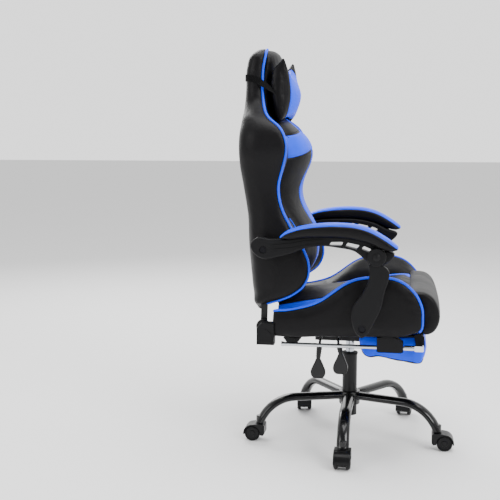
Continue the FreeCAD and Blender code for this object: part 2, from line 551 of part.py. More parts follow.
def arm_bolt():
    """Bolt and spacer that hold the rear of the right armrest to the back."""
    shank = right_rod(LINK_BOLT, ARM_REAR_PIVOT, BAR_IN - 4, 299)
    spacer = right_rod(12, ARM_REAR_PIVOT, BAR_OUT, ARM_IN - 0.5)
    head = right_rod(9.5, ARM_REAR_PIVOT, 298.5, 302)
    nut = right_rod(10, ARM_REAR_PIVOT, BAR_IN - 7, BAR_IN)
    return fuse([shank, spacer, head, nut])


def back():
    """Frame, rear shell, front pad, pillow and strap of the back."""
    frame = back_frame()
    keep("back_frame", frame)
    bolt = arm_bolt()
    keep("arm_rear_bolts", both_sides(bolt))
    half = [V(-500, y, z) for y, z in BACK_HALF_WIDTH]
    other = [V(-500, -y, z) for y, z in reversed(BACK_HALF_WIDTH[1:-1])]
    window = face_of(half + other, False).extrude(V(500, 0, 0))
    hidden = [frame, bolt, mirrored(bolt)]
    hinge_room = [rod(30, (RECLINE_PIVOT[0], side * 203, RECLINE_PIVOT[1]),
                      (RECLINE_PIVOT[0], side * 290, RECLINE_PIVOT[1])) for side in (-1, 1)]

    skin = 28
    inside = [(x + skin, z) for x, z in BACK_REAR[:-1]] + [(-283, 1250)]
    shell = side_prism(BACK_REAR + list(reversed(inside)), -270, 270)
    keep("back_shell", cut(shell.common(window), hidden + hinge_room))
    wings = side_prism(inside + WING_FRONT, -270, 270)
    under = side_prism([(-238, 400), (-238, 500), (-150, 545), (-100, 600), (-80, 400)], -189, 189)
    centre = side_prism(inside + CENTRE_FRONT, -155, 155)
    pad = fuse([wings.cut(under), centre]).common(window)
    keep("back_pad", cut(pad, hidden + hinge_room))

    pillow = side_prism(PILLOW_OUTLINE, -130, 130)
    keep("head_pillow", rounded(pillow, 12, lambda edge: edge.BoundBox.YLength < 1))
    side_band = right_plate([(-348, 1162), (-348, 1177), (-236, 1142), (-236, 1127)], 150, 152)
    flap = right_plate([(-239, 1128), (-239, 1143), (-236, 1142), (-236, 1127)], 130.5, 150)
    rear_band = box(-348, -346, -150, 150, 1162, 1176)
    keep("head_strap", fuse([side_band, flap, mirrored(side_band), mirrored(flap), rear_band]))


# ---- armrests -----------------------------------------------------------------------------------
def arm_body():
    """Moulded right armrest body with three slots and two long ribs."""
    body = right_plate(ARM_TOP + ARM_LOWER, ARM_IN, ARM_OUT, smooth=True)
    body = rounded(body, 5, lambda edge: edge.BoundBox.YLength < 1)
    slots = [rounded(right_plate(slot, ARM_IN - 1, ARM_OUT + 1), 2.5, lambda edge: edge.BoundBox.YLength > 5)
             for slot in ARM_SLOTS]
    holes = [right_rod(LINK_BOLT + FIT, ARM_REAR_PIVOT, ARM_IN - 1, ARM_OUT + 1),
             right_rod(11, ARM_REAR_PIVOT, 298, ARM_OUT + 1),
             right_rod(10, KNUCKLE, ARM_IN - 1, ARM_OUT + 1)]
    ribs = []
    for drop in (0, 13):
        upper = [(-215, 668), (-160, 674), (-110, 683), (-62, 688)]
        band = [(x, z - drop) for x, z in upper] + [(x, z - drop - 4) for x, z in reversed(upper)]
        ribs.append(right_plate(band, ARM_OUT - 1, ARM_OUT + 2))
    return fuse([cut(body, slots + holes)] + ribs)


def arm_pad():
    """Padded right armrest top."""
    under = [(x, z + 0.5) for x, z in ARM_TOP]
    pad = right_plate(under + PAD_TOP, PAD_IN, PAD_OUT)
    pad = rounded(pad, 8, lambda edge: edge.BoundBox.YLength < 1 and edge.BoundBox.ZMax > 700)
    body_space = right_plate(ARM_TOP + ARM_LOWER, ARM_IN, ARM_OUT, smooth=True)
    blade_room = right_plate([(108, 640), (165, 630), (165, 657), (112, 668)], ARM_OUT + 1.5, SUPPORT_OUT + 3)
    return cut(pad, [body_space, blade_room, right_rod(31, KNUCKLE, ARM_OUT + 1.5, PAD_OUT + 5)])


def arm_support():
    """Right link between the seat frame and the armrest, with its knuckle and knuckle bolt."""
    blade = right_plate(SUPPORT_OUTLINE, SUPPORT_IN, SUPPORT_OUT, smooth=True)
    blade = rounded(blade, 4, lambda edge: edge.BoundBox.YLength < 1 and edge.BoundBox.YMax < -SUPPORT_OUT + 1)
    disc = right_rod(27, KNUCKLE, SUPPORT_IN, 328)
    disc = rounded(disc, 3, lambda edge: edge.BoundBox.YMax < -327)
    boss = right_rod(15, SUPPORT_PIVOT, BOLSTER_OUT + 2, SUPPORT_IN + 1)
    body = cut(fuse([blade, disc, boss]), [right_rod(LINK_BOLT + FIT, SUPPORT_PIVOT, 200, 400),
                                           right_rod(11, SUPPORT_PIVOT, 314.5, 400),
                                           right_rod(5, KNUCKLE, 200, 400)])
    shank = right_rod(5, KNUCKLE, ARM_IN - 1, 330)
    dome = Part.makeSphere(16, V(KNUCKLE[0], -318, KNUCKLE[1]))
    dome = dome.common(right_rod(11, KNUCKLE, 328, 340))
    washer = right_rod(13, KNUCKLE, ARM_IN - 3, ARM_IN - 0.5)
    return group([body, fuse([shank, dome, washer])])


def armrests():
    """Both armrests; the left one mirrors the right one."""
    for name, shape in (("arm_body", arm_body()), ("arm_pad", arm_pad()), ("arm_support", arm_support())):
        keep(f"{name}_right", shape)
        keep(f"{name}_left", mirrored(shape))


# ---- footrest -----------------------------------------------------------------------------------
def footrest():
    """Two chrome slide rods and the flip-over footrest between their ends."""
    bar = rod(SLIDE_ROD, (-194, -SLIDE_Y, SLIDE_Z), (205, -SLIDE_Y, SLIDE_Z))
    cap = rod(SLIDE_ROD + 1.5, (-197, -SLIDE_Y, SLIDE_Z), (-190, -SLIDE_Y, SLIDE_Z))
    sleeve = rod(8, (176, -SLIDE_Y, SLIDE_Z + 1), (212, -SLIDE_Y, SLIDE_Z + 1))
    knuckle = box(206, 234, -SLIDE_Y - 8, -SLIDE_Y + 12, SLIDE_Z - 8, SLIDE_Z + 9)
    knuckle = rounded(knuckle, 4, lambda edge: edge.BoundBox.YLength > 5)
    stub = rod(5, (FLIP_X, -SLIDE_Y + 10, FLIP_Z), (FLIP_X, -FOOT_HALF - 1.5, FLIP_Z))
    keep("footrest_rods", both_sides(fuse([bar, cap, sleeve, knuckle, stub])))

    board = box(42, 234, -FOOT_HALF, FOOT_HALF, 373.3, 378)
    board = rounded(board, 10, lambda edge: edge.BoundBox.ZLength > 4)
    lug_outline = [(205, 378), (212, 345), (218, 342), (232, 342), (238, 350), (236, 378), (226, 385), (210, 385)]
    lug = right_plate(lug_outline, FOOT_HALF + 0.4, FOOT_HALF + 8)
    bridge = box(206, 234, -FOOT_HALF - 1, -FOOT_HALF + 12, 374, 378)
    hole = rod(5 + FIT, (FLIP_X, -300, FLIP_Z), (FLIP_X, 300, FLIP_Z))
    keep("footrest_board", fuse([board, lug, bridge, mirrored(lug), mirrored(bridge)]).cut(hole))
    pad = side_prism(FOOT_OUTLINE, -FOOT_HALF, FOOT_HALF)
    keep("footrest_pad", rounded(pad, 10, lambda edge: edge.BoundBox.YLength < 1 and edge.BoundBox.ZMax < 332))


def main():
    """Build every sub-part and write its STEP file."""
    os.makedirs("parts", exist_ok=True)
    for step in (base, casters, gas_lift, mechanism, levers, seat, back, armrests, footrest):
        step()
    for name, shape in NODES.items():
        shape.exportStep(f"parts/{name}.step")
    print(len(NODES), "nodes")


main()
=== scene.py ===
"""Looks for a reclining swivel chair: upholstery, piping, stitching, finishes, stage and camera."""

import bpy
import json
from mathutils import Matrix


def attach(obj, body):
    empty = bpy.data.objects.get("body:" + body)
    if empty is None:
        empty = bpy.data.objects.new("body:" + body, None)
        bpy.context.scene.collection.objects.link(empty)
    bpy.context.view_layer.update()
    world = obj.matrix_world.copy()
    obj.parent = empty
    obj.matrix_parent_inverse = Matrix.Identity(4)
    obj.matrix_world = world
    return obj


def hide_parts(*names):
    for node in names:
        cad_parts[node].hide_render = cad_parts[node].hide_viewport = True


bl_info = {
    "name": "Reclining Chair Looks",
    "version": (1, 0, 0),
    "blender": (4, 5, 0),
    "location": "3D View > Sidebar > Chair",
    "description": "Dresses the chair's frame in padded covers, piping, stitches and finishes",
    "category": "Object",
}

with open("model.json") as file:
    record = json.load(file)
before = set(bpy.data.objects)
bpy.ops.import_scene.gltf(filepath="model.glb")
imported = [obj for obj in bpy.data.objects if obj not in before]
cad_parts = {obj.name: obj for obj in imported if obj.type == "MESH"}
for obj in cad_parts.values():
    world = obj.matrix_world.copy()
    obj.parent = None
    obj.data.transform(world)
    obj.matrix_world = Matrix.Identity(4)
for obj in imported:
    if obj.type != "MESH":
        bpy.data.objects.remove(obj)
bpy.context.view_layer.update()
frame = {"nodes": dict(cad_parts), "record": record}

import json
import math

import bmesh
import bpy
import numpy as np
from mathutils import Vector
from mathutils.bvhtree import BVHTree

MM = 0.001
SIDES = (("right", -1), ("left", 1))

# ---- shape lines, in millimetres ------------------------------------------------------------------
# The back, by height from its lower edge to its top: (height, distance forward) for its rear, wing
# and crest, (height, half width) for its outline, panel and stripe, (height, bulge) for the crown.
BACK_REAR = [(438, -282), (505, -298), (580, -306), (660, -313), (744, -317), (831, -330), (905, -341),
             (970, -343), (1060, -336), (1140, -332), (1204, -327), (1243, -313), (1262, -290)]
BACK_WING = [(438, -262), (462, -250), (476, -238), (491, -190), (519, -142), (560, -114),
             (600, -111), (643, -126), (714, -166), (771, -195), (828, -206), (895, -190),
             (946, -179), (985, -184), (1019, -205), (1042, -237),
             (1075, -260), (1110, -271), (1162, -272), (1225, -262), (1262, -250)]
BACK_CREST = [(480, -236), (500, -222), (545, -150), (590, -118), (650, -112), (704, -123), (737, -142),
              (765, -157), (818, -168), (860, -158), (899, -140), (930, -134), (974, -149), (1000, -173),
              (1028, -206), (1050, -232), (1110, -246), (1190, -240), (1225, -231), (1245, -240),
              (1257, -256)]
BACK_HALF = [(438, 186), (461, 200), (472, 238), (486, 249), (520, 251), (600, 252), (700, 250),
             (800, 246), (880, 254), (960, 267), (1010, 259), (1044, 232), (1068, 192),
             (1092, 162), (1125, 149), (1205, 148), (1245, 134), (1262, 100)]
PANEL_HALF = [(480, 110), (545, 148), (700, 152), (900, 152), (980, 146), (1040, 122), (1080, 110),
              (1200, 110), (1240, 98), (1256, 70)]
PANEL_CROWN = [(480, 16), (600, 25), (700, 38), (850, 50), (950, 48), (1040, 24), (1256, 20)]
STRIPE_HALF = [(480, 26), (600, 28), (700, 32), (770, 46), (820, 44), (870, 22), (945, 14), (1050, 13)]

# The seat, by distance forward: (distance, height).
BOLSTER_TOP = [(-224, 463), (-191, 466), (-156, 473), (-123, 481), (-89, 493), (-60, 511), (-32, 532),
               (-3, 552), (30, 567), (63, 573), (119, 574), (147, 570), (175, 557), (199, 536),
               (218, 508), (229, 477)]
BOLSTER_BOTTOM = [(-224, 379), (-136, 377), (-83, 381), (-11, 384), (83, 387), (180, 393), (229, 412)]
BOLSTER_FRONT = [(231, 441), (229, 417), (221, 400)]
CUSHION_TOP = [(-222, 474), (-180, 475), (-120, 480), (-50, 490), (50, 508), (120, 521), (185, 527),
               (212, 524)]
STRIPE_IN = [(-222, 166), (-171, 157), (-110, 146), (-60, 137), (0, 124), (60, 110), (110, 100), (210, 92)]
ROLL = [(184, 526), (212, 526), (236, 523), (254, 513), (267, 497), (276, 474), (280, 450), (276, 425),
        (263, 402), (246, 393), (232, 396), (222, 440), (200, 505)]
ARM_PAD_TOP = [(-193, 692), (-179, 705), (-146, 720), (-105, 729), (-58, 734), (-11, 735), (30, 732),
               (71, 721), (108, 702), (138, 682), (155, 668)]
ARM_PAD_BOTTOM = [(-193, 688), (-164, 688), (-119, 694), (-60, 697), (-11, 697), (30, 692), (77, 678),
                  (112, 663), (143, 657), (155, 662)]
FOOT_TOP, FOOT_REAR, FOOT_FRONT = 372.0, 41.0, 236.0
FOOT_BOTTOM = [(41, 324), (48, 314), (100, 305), (150, 296), (200, 290), (226, 288), (236, 300)]

# The head pillow: (distance, height) of its section in the middle and at an end.
PILLOW_MIDDLE = [(-207, 1184), (-221, 1179), (-236, 1165), (-242, 1130), (-240, 1086), (-231, 1058),
                 (-211, 1042), (-194, 1055), (-178, 1090), (-173, 1117), (-178, 1138), (-194, 1172)]
PILLOW_END = [(-207, 1229), (-221, 1213), (-240, 1193), (-250, 1142), (-243, 1088), (-234, 1047),
              (-219, 1031), (-209, 1050), (-205, 1088), (-205, 1116), (-204, 1144), (-202, 1192)]
# Half of the strap, from the pillow's end to the middle of the headrest's rear.
STRAP_ROUTE = [(-236, 128, 1122), (-253, 138, 1135), (-272, 150, 1150), (-296, 152, 1160),
               (-322, 136, 1165), (-335, 90, 1167), (-338, 0, 1168)]

# ---- widths and small sizes, in metres ------------------------------------------------------------
PILLOW_HALF, PILLOW_BAND, PILLOW_BACK = 0.124, 0.091, 0.222
STRAP_WIDTH, STRAP_THICKNESS, STRAP_LIFT = 0.020, 0.0018, 0.0020
CUSHION_HALF, CUSHION_FLOOR = 0.184, 0.412
ROLL_HALF, ROLL_FLAT, ROLL_ROUNDING, ROLL_BOW = 0.234, 0.216, 0.018, 0.004
ARM_PAD_REAR, ARM_PAD_FRONT, ARM_PAD_MIDDLE, ARM_PAD_HALF = -0.192, 0.154, 0.3065, 0.0365
FOOT_HALF, FOOT_FLAT, FOOT_ROUNDING = 0.163, 0.146, 0.017
ROUTE_STEP = 0.007
THREAD_LIFT, STITCH_ASIDE, STRIPE_ASIDE = 0.0002, 0.010, 0.004

# ---- studio ---------------------------------------------------------------------------------------
FLOOR_HALF = 30
CAMERA_PLACE, CAMERA_LENS = (0.1816, -2.9945, 0.996), 66.68
CAMERA_DIP, CAMERA_TURN = 7.19, 9.77
LAMP_TARGET = (0, 0, 0.7)
# name, place, width of the square, watts
LAMPS = (("key", (2.6, -2.4, 2.8), 1.8, 120), ("fill", (-2.6, -2.6, 2.0), 1.8, 45),
         ("rim", (-1.6, 2.6, 2.6), 2.0, 90), ("top", (0.2, -0.2, 3.6), 2.6, 110))
# Brightness of the surroundings behind the camera's side and on the far side.
NEAR_LIGHT, FAR_LIGHT = 0.42, 1.75


# ---- settings --------------------------------------------------------------------------------------
class ChairSizes(bpy.types.PropertyGroup):
    """Sizes that a user would change."""
    piping_radius: bpy.props.FloatProperty(
        name="Piping radius", description="Radius of the welt along the wings", default=0.0043,
        unit="LENGTH")
    stitch_pitch: bpy.props.FloatProperty(
        name="Stitch pitch", description="Distance from stitch to stitch", default=0.0065, unit="LENGTH")
    voxel: bpy.props.FloatProperty(
        name="Foam voxel", description="Mesh size of the padded pieces", default=0.0055, unit="LENGTH")
    groove: bpy.props.FloatProperty(
        name="Seam depth", description="How deep a seam pulls the cover in", default=0.0022,
        unit="LENGTH")


class ChairColours(bpy.types.PropertyGroup):
    """Colours that a user would change, as sRGB hex."""
    black: bpy.props.StringProperty(name="Black", description="Main leatherette", default="#0B0A0C")
    accent: bpy.props.StringProperty(name="Accent", description="Accent leatherette", default="#0B49F8")
    plastic: bpy.props.StringProperty(name="Plastic", description="Moulded parts", default="#0C0C0E")
    enamel: bpy.props.StringProperty(name="Enamel", description="Painted steel", default="#060608")
    floor: bpy.props.StringProperty(name="Floor", description="Studio floor", default="#F4F4F4")


def sizes():
    """The scene's chair sizes."""
    return bpy.context.scene.chair_sizes


def colours():
    """The scene's chair colours."""
    return bpy.context.scene.chair_colours


# ---- curves and meshes -----------------------------------------------------------------------------
def profile(points):
    """Smooth function through (place, value) pairs, both in metres."""
    xs, ys = np.array(points, float).T * MM
    slopes = np.gradient(ys, xs)

    def at(x):
        x = np.clip(x, xs[0], xs[-1])
        i = np.clip(np.searchsorted(xs, x) - 1, 0, len(xs) - 2)
        step = xs[i + 1] - xs[i]
        t = (x - xs[i]) / step
        return ((2 * t**3 - 3 * t**2 + 1) * ys[i] + (t**3 - 2 * t**2 + t) * step * slopes[i]
                + (3 * t**2 - 2 * t**3) * ys[i + 1] + (t**3 - t**2) * step * slopes[i + 1])

    return at


def smooth_route(points, spacing, closed=False):
    """Evenly spaced points on a smooth curve through the given ones."""
    points = [np.array(p, float) for p in points]
    if closed:
        points = [points[-1]] + points + points[:2]
    else:
        points = [2 * points[0] - points[1]] + points + [2 * points[-1] - points[-2]]
    dense = []
    for a, b, c, d in zip(points, points[1:], points[2:], points[3:]):
        for t in np.linspace(0, 1, 12, endpoint=False):
            dense.append(0.5 * (2 * b + (c - a) * t + (2 * a - 5 * b + 4 * c - d) * t**2
                                + (3 * b - a - 3 * c + d) * t**3))
    if not closed:
        dense.append(points[-2])
    dense = np.array(dense)
    if closed:
        dense = np.vstack([dense, dense[:1]])
    along = np.concatenate([[0], np.cumsum(np.linalg.norm(np.diff(dense, axis=0), axis=1))])
    count = max(2, int(round(along[-1] / spacing)) + 1)
    wanted = np.linspace(0, along[-1], count)
    even = np.stack([np.interp(wanted, along, dense[:, k]) for k in range(dense.shape[1])], axis=1)
    return even[:-1] if closed else even


def make_object(name, verts, faces, edges=()):
    """Mesh object at the origin."""
    mesh = bpy.data.meshes.new(name)
    mesh.from_pydata([tuple(v) for v in verts], list(edges), faces)
    mesh.update()
    made = bpy.data.objects.new(name, mesh)
    bpy.context.scene.collection.objects.link(made)
    return made


def loft(name, rings):
    """Closed skin over rings of equal length, capped at both ends."""
    rings = [np.array(ring) for ring in rings]
    n = len(rings[0])
    verts = np.vstack(rings + [rings[0].mean(axis=0), rings[-1].mean(axis=0)])
    faces = []
    for r in range(len(rings) - 1):
        for k in range(n):
            m = (k + 1) % n
            faces.append((r * n + k, r * n + m, (r + 1) * n + m, (r + 1) * n + k))
    first, last = len(verts) - 2, len(verts) - 1
    base = (len(rings) - 1) * n
    for k in range(n):
        m = (k + 1) % n
        faces.append((first, m, k))
        faces.append((last, base + k, base + m))
    made = make_object(name, verts, faces)
    face_outwards(made)
    return made


def face_outwards(piece):
    """Recalculate the normals of a closed mesh."""
    work = bmesh.new()
    work.from_mesh(piece.data)
    bmesh.ops.remove_doubles(work, verts=work.verts, dist=1e-6)
    bmesh.ops.recalc_face_normals(work, faces=work.faces)
    work.to_mesh(piece.data)
    work.free()


def ring_of(half, count=64):
    """Evenly spaced closed ring from one half of a symmetric section, given as (across, up)."""
    whole = list(half) + [(-a, b) for a, b in reversed(half) if abs(a) > 1e-6]
    return smooth_ring(whole, count)


def smooth_ring(points, count):
    """A closed smooth ring with a fixed number of points."""
    length = sum(math.dist(a, b) for a, b in zip(points, points[1:] + points[:1]))
    ring = smooth_route(points, length / count / 3, closed=True)
    pick = np.linspace(0, len(ring), count, endpoint=False).astype(int)
    return ring[pick]


def apply_modifiers(piece):
    """Replace a piece's mesh by its evaluated one and clear its modifiers."""
    graph = bpy.context.evaluated_depsgraph_get()
    done = bpy.data.meshes.new_from_object(piece.evaluated_get(graph))
    piece.modifiers.clear()
    old = piece.data
    piece.data = done
    bpy.data.meshes.remove(old)


def coordinates(piece):
    """Vertex places as an array."""
    places = np.empty(len(piece.data.vertices) * 3)
    piece.data.vertices.foreach_get("co", places)
    return places.reshape(-1, 3)


def set_coordinates(piece, places):
    """Write vertex places back."""
    piece.data.vertices.foreach_set("co", np.asarray(places, float).ravel())
    piece.data.update()


def stuff(piece, swell, pressure=4.0, voxel=None, relax=6):
    """Swell a closed cover like foam under cloth, then smooth it and refine it once."""
    remesh = piece.modifiers.new("voxels", "REMESH")
    remesh.mode = "VOXEL"
    remesh.voxel_size = voxel or sizes().voxel
    soften = piece.modifiers.new("soften", "SMOOTH")
    soften.factor = 0.5
    soften.iterations = relax
    apply_modifiers(piece)
    before = coordinates(piece)
    cloth = piece.modifiers.new("cloth", "CLOTH")
    cloth.settings.quality = 4
    cloth.settings.mass = 0.25
    cloth.settings.use_pressure = True
    cloth.settings.uniform_pressure_force = pressure
    cloth.settings.effector_weights.gravity = 0
    cloth.settings.tension_stiffness = 12
    cloth.settings.compression_stiffness = 12
    cloth.settings.bending_stiffness = 0.4
    for step in range(1, 19):
        bpy.context.scene.frame_set(step)
    apply_modifiers(piece)
    moved = coordinates(piece) - before
    reach = np.linalg.norm(moved, axis=1, keepdims=True)
    allowed = swell * np.tanh(reach / swell)
    set_coordinates(piece, before + moved * allowed / np.maximum(reach, 1e-9))
    bpy.context.scene.frame_set(1)
    soften = piece.modifiers.new("soften", "SMOOTH")
    soften.factor = 0.5
    soften.iterations = 3
    refine = piece.modifiers.new("refine", "SUBSURF")
    refine.levels = 1
    refine.render_levels = 1
    apply_modifiers(piece)
    piece.data.polygons.foreach_set("use_smooth", [True] * len(piece.data.polygons))


def sew(piece, border, depth=None, width=0.0035):
    """Pull the cover in along a panel border and store the border's distance for the material."""
    places = coordinates(piece)
    distance = border(places)
    normals = np.empty(len(places) * 3)
    piece.data.vertices.foreach_get("normal", normals)
    pull = (sizes().groove if depth is None else depth) * np.exp(-(distance / width) ** 2)
    set_coordinates(piece, places - normals.reshape(-1, 3) * pull[:, None])
    layer = piece.data.attributes.new("panel", "FLOAT", "POINT")
    layer.data.foreach_set("value", distance.astype(np.float32))


def surface_of(*pieces):
    """Search tree over the surfaces of some pieces."""
    verts, faces = [], []
    for piece in pieces:
        start = len(verts)
        verts += [v.co.copy() for v in piece.data.vertices]
        faces += [[start + k for k in face.vertices] for face in piece.data.polygons]
    return BVHTree.FromPolygons(verts, faces)


def laid_on(route, tree, lift, sideways=0.0, aim=None):
    """Route laid on a surface, dropped along aim if given, lifted off it, and shifted sideways."""
    result = []
    for k, place in enumerate(route):
        spot, normal, _, _ = tree.find_nearest(Vector(place))
        if aim:
            hit, facing, _, _ = tree.ray_cast(Vector(place) - Vector(aim) * 0.1, Vector(aim))
            spot, normal = (hit, facing) if hit else (spot, normal)
        if sideways:
            ahead = Vector(route[min(k + 1, len(route) - 1)]) - Vector(route[max(k - 1, 0)])
            spot, normal, _, _ = tree.find_nearest(spot + normal.cross(ahead).normalized() * sideways)
        result.append(np.array(spot + normal * lift))
    result = np.array(result)
    for _ in range(3):
        result[1:-1] = 0.25 * result[:-2] + 0.5 * result[1:-1] + 0.25 * result[2:]
    return result


def tube(name, route, radius, sides=10):
    """Round cord along a route, with domed ends."""
    route = np.array(route)
    ahead = np.gradient(route, axis=0)
    ahead /= np.linalg.norm(ahead, axis=1, keepdims=True)
    across = np.cross(ahead[0], (0, 0, 1.0) if abs(ahead[0][2]) < 0.9 else (0, 1.0, 0))
    rings = []
    for k, place in enumerate(route):
        across = across - ahead[k] * np.dot(across, ahead[k])
        across /= np.linalg.norm(across)
        other = np.cross(ahead[k], across)
        turns = np.linspace(0, 2 * math.pi, sides, endpoint=False)
        scale = radius * (0.6 if k in (0, len(route) - 1) else 1.0)
        rings.append([place + scale * (math.cos(a) * across + math.sin(a) * other) for a in turns])
    made = loft(name, rings)
    made.data.polygons.foreach_set("use_smooth", [True] * len(made.data.polygons))
    return made


def joined(name, pieces):
    """Several pieces as one object."""
    verts, faces = [], []
    for piece in pieces:
        start = len(verts)
        verts += [tuple(v.co) for v in piece.data.vertices]
        faces += [tuple(start + k for k in face.vertices) for face in piece.data.polygons]
        bpy.data.objects.remove(piece)
    made = make_object(name, verts, faces)
    made.data.polygons.foreach_set("use_smooth", [True] * len(made.data.polygons))
    return made


def finish_piece(piece, finish, body, replaced=()):
    """Give a piece its material and its body, and hide the CAD nodes it stands for."""
    piece.data.materials.clear()
    piece.data.materials.append(finish)
    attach(piece, body)
    if replaced:
        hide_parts(*replaced)
    return piece


# ---- materials -------------------------------------------------------------------------------------
def linear(code):
    """Linear colour from an sRGB hex value."""
    channels = [int(code[k:k + 2], 16) / 255 for k in (1, 3, 5)]
    return tuple(c / 12.92 if c <= 0.04045 else ((c + 0.055) / 1.055) ** 2.4 for c in channels) + (1.0,)


def add(tree, kind, inputs=None, **settings):
    """Add one node with its settings, its input values and its links."""
    made = tree.nodes.new(kind)
    for key, value in settings.items():
        setattr(made, key, value)
    for socket, value in (inputs or {}).items():
        if isinstance(value, bpy.types.NodeSocket):
            tree.links.new(value, made.inputs[socket])
        else:
            made.inputs[socket].default_value = value
    return made


def start_material(name, **shader):
    """New material, its tree, its Principled shader and its object coordinates."""
    made = bpy.data.materials.new(name)
    made.use_nodes = True
    tree = made.node_tree
    bsdf = tree.nodes["Principled BSDF"]
    for socket, value in shader.items():
        bsdf.inputs[socket.replace("_", " ")].default_value = value
    place = add(tree, "ShaderNodeTexCoord").outputs["Object"]
    return made, tree, bsdf, place


def vary(tree, bsdf, factor, code, shades, roughness=None):
    """Let a colour, and the roughness if given, wander between two ends as a pattern says."""
    low, high = (tuple(c * k for c in linear(code)[:3]) + (1.0,) for k in shades)
    shade = add(tree, "ShaderNodeMix", {"Factor": factor, "A": low, "B": high}, data_type="RGBA")
    tree.links.new(shade.outputs["Result"], bsdf.inputs["Base Color"])
    if roughness:
        rough = add(tree, "ShaderNodeMapRange", {"Value": factor, "To Min": roughness[0],
                                                 "To Max": roughness[1]})
        tree.links.new(rough.outputs[0], bsdf.inputs["Roughness"])


def bump(tree, bsdf, *layers):
    """Chain bump layers, each (height socket, strength, distance), into the shader's normal."""
    normal = None
    for height, strength, distance in layers:
        inputs = {"Height": height, "Strength": strength, "Distance": distance}
        if normal:
            inputs["Normal"] = normal
        normal = add(tree, "ShaderNodeBump", inputs).outputs["Normal"]
    tree.links.new(normal, bsdf.inputs["Normal"])


def leatherette(name, code, accent=None, gloss=0.0):
    """PU leatherette, calendered: a fine pebble grain, soft sheen, faint stretch creases.

    Real grain is about 1 mm; it is drawn at 2.2 mm so that it shows."""
    made, tree, bsdf, place = start_material(name, Specular_IOR_Level=0.14, Coat_Weight=0.02,
                                            Coat_Roughness=0.30)
    grain = add(tree, "ShaderNodeTexVoronoi", {"Vector": place, "Scale": 1 / 0.0022, "Randomness": 0.9},
                feature="SMOOTH_F1")
    crease = add(tree, "ShaderNodeTexNoise", {"Vector": place, "Scale": 22.0, "Detail": 4.0,
                                               "Roughness": 0.55, "Distortion": 1.2})
    cloud = add(tree, "ShaderNodeTexNoise", {"Vector": place, "Scale": 7.0, "Detail": 3.0})
    tint = add(tree, "ShaderNodeMapRange", {"Value": cloud.outputs["Fac"], "From Min": 0.3,
                                             "From Max": 0.7, "To Min": 0.86, "To Max": 1.14})
    base = add(tree, "ShaderNodeRGB")
    base.outputs[0].default_value = linear(code)
    colour = base.outputs[0]
    if accent:
        other = add(tree, "ShaderNodeRGB")
        other.outputs[0].default_value = linear(accent)
        border = add(tree, "ShaderNodeAttribute", attribute_name="panel")
        inside = add(tree, "ShaderNodeMapRange", {"Value": border.outputs["Fac"], "From Min": -0.0003,
                                                   "From Max": 0.0003})
        blend = add(tree, "ShaderNodeMix", {"Factor": inside.outputs[0], "A": colour,
                                             "B": other.outputs[0]}, data_type="RGBA")
        colour = blend.outputs["Result"]
    shade = add(tree, "ShaderNodeVectorMath", {0: colour, "Scale": tint.outputs[0]}, operation="SCALE")
    tree.links.new(shade.outputs[0], bsdf.inputs["Base Color"])
    rough = add(tree, "ShaderNodeMapRange", {"Value": cloud.outputs["Fac"], "From Min": 0.3,
                                              "From Max": 0.7, "To Min": 0.40 - gloss,
                                              "To Max": 0.52 - gloss})
    tree.links.new(rough.outputs[0], bsdf.inputs["Roughness"])
    bump(tree, bsdf, (crease.outputs["Fac"], 0.30, 0.004), (grain.outputs["Distance"], 0.16, 0.0006))
    return made


def moulded(name, code, roughness=0.48, texture=0.0016, coat=0.0):
    """Injection-moulded nylon or polypropylene: spark-eroded texture, slightly shiny."""
    made, tree, bsdf, place = start_material(name, Specular_IOR_Level=0.18, Coat_Weight=coat,
                                            Coat_Roughness=0.25)
    fine = add(tree, "ShaderNodeTexNoise", {"Vector": place, "Scale": 1 / texture, "Detail": 3.0})
    wide = add(tree, "ShaderNodeTexNoise", {"Vector": place, "Scale": 16.0, "Detail": 2.0})
    vary(tree, bsdf, wide.outputs["Fac"], code, (0.82, 1.25), (roughness - 0.08, roughness + 0.1))
    bump(tree, bsdf, (fine.outputs["Fac"], 0.22, 0.0005))
    return made


def enamelled(name, code, roughness=0.16, coat=0.35):
    """Baked enamel on steel tube: wet gloss with a faint orange peel, about 4 mm from crest to crest."""
    made, tree, bsdf, place = start_material(name, Specular_IOR_Level=0.25, Coat_Weight=coat,
                                            Coat_Roughness=0.06)
    peel = add(tree, "ShaderNodeTexNoise", {"Vector": place, "Scale": 250.0, "Detail": 2.0})
    dust = add(tree, "ShaderNodeTexNoise", {"Vector": place, "Scale": 9.0, "Detail": 5.0})
    vary(tree, bsdf, dust.outputs["Fac"], code, (0.9, 1.35), (roughness, roughness + 0.14))
    bump(tree, bsdf, (peel.outputs["Fac"], 0.05, 0.0006))
    return made


def metal(name, code, roughness, grain=(1, 1, 1)):
    """Plated or turned steel: tool lines stretched along the part, light smears."""
    made, tree, bsdf, place = start_material(name, Metallic=1.0)
    stretch = add(tree, "ShaderNodeMapping", {"Vector": place, "Scale": grain})
    lines = add(tree, "ShaderNodeTexNoise", {"Vector": stretch.outputs[0], "Scale": 420.0, "Detail": 3.0})
    smear = add(tree, "ShaderNodeTexNoise", {"Vector": place, "Scale": 30.0, "Detail": 4.0})
    vary(tree, bsdf, smear.outputs["Fac"], code, (0.85, 1.05), (roughness, roughness + 0.12))
    bump(tree, bsdf, (lines.outputs["Fac"], 0.06, 0.0002))
    return made


def webbing(name, code):
    """Woven elastic: ribs across the band 1.6 mm apart, drawn a little coarse so that they show."""
    made, tree, bsdf, place = start_material(name, Roughness=0.85, Specular_IOR_Level=0.1)
    weave = add(tree, "ShaderNodeTexWave", {"Vector": place, "Scale": 95.0, "Distortion": 0.6},
                bands_direction="DIAGONAL")
    vary(tree, bsdf, weave.outputs["Fac"], code, (0.7, 1.5))
    bump(tree, bsdf, (weave.outputs["Fac"], 0.5, 0.0006))
    return made


FINISHES = {}


